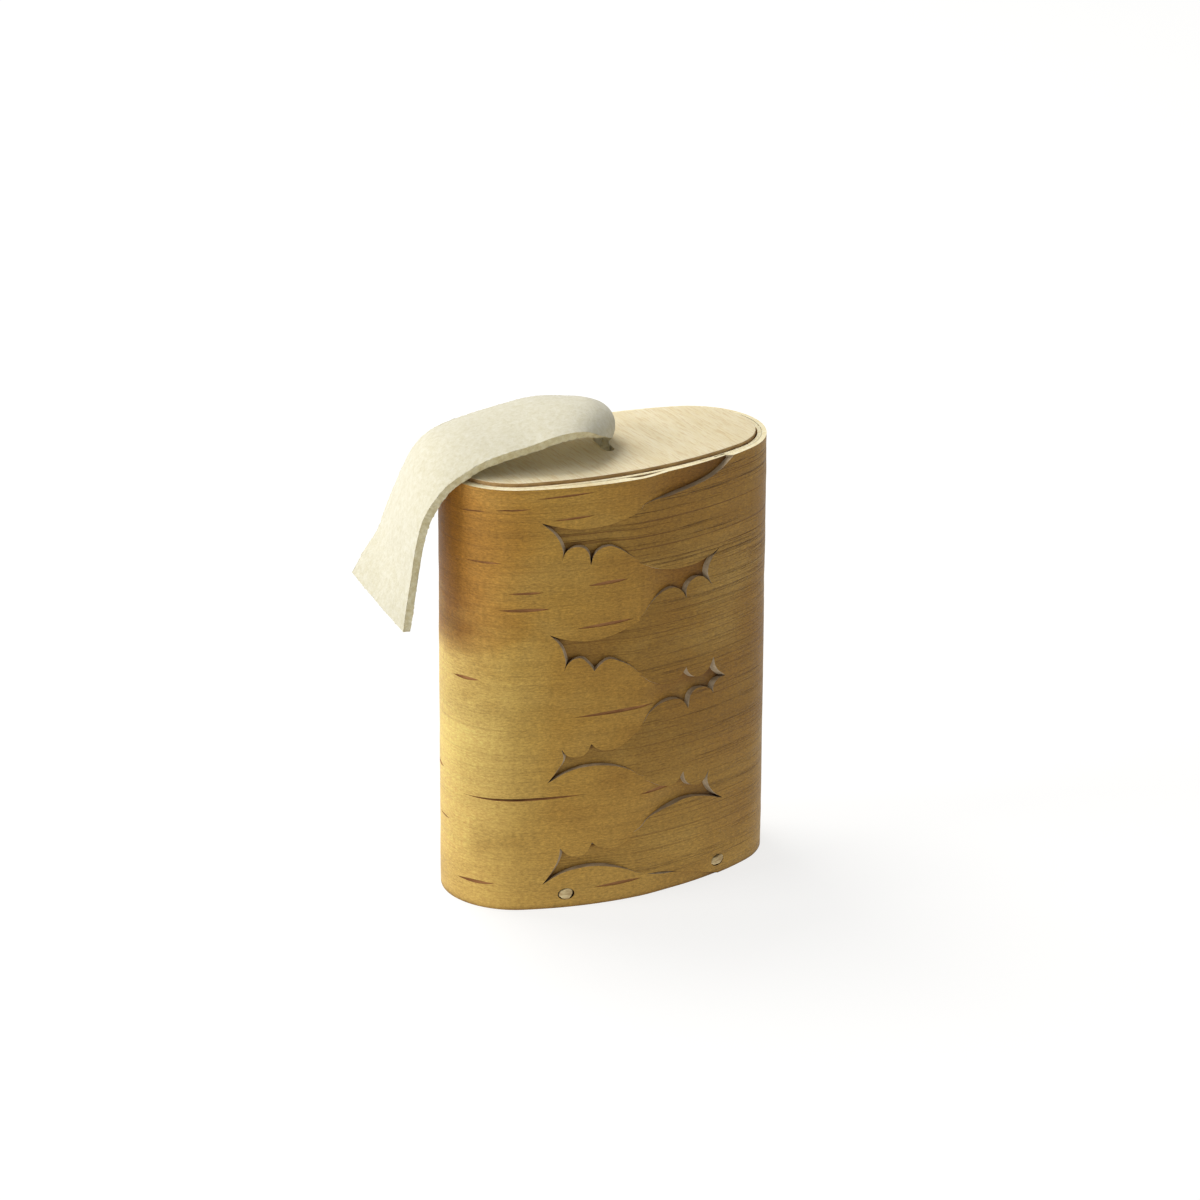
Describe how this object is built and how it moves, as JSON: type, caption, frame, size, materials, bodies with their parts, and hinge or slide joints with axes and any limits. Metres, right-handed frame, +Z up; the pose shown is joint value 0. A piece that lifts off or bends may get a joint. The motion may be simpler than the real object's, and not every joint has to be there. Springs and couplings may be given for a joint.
{
  "type": "tea caddy",
  "caption": "Oval birch-bark tea caddy with an interlocked bark seam, pegged wooden base, drop-in wooden lid and a suede lifting strap.",
  "frame": {"origin": "centre of the base's underside, on the surface that the caddy stands on", "axes": "+Z up, +X along the long axis away from the strap's hanging end, -Y the front with the seam"},
  "size_m": [0.1107, 0.0502, 0.1328],
  "materials": {
    "bark": "satin",
    "lid_wood": "matte",
    "peg_wood": "matte",
    "suede": "matte"
  },
  "bodies": {
    "caddy": {"bark_wrap": "bark", "bark_liner": "bark", "base_board": "peg_wood", "base_peg_front_left": "peg_wood", "base_peg_front_right": "peg_wood", "base_peg_back_left": "peg_wood", "base_peg_back_right": "peg_wood"},
    "lid": {"lid_board": "lid_wood", "strap_neck": "suede", "strap_toggle": "peg_wood"},
    "strap": {"strap_tail": "suede"}
  },
  "joints": [
    {"name": "lid_lift", "type": "slide", "parent": "caddy", "child": "lid", "axis": [0, 0, 1], "range_m": [0, 0.06]},
    {"name": "strap_swing", "type": "hinge", "parent": "lid", "child": "strap", "pos_m": [0, 0, 0.1234], "axis": [0.1564, 0.9877, 0], "range_deg": [0, 90]}
  ]
}
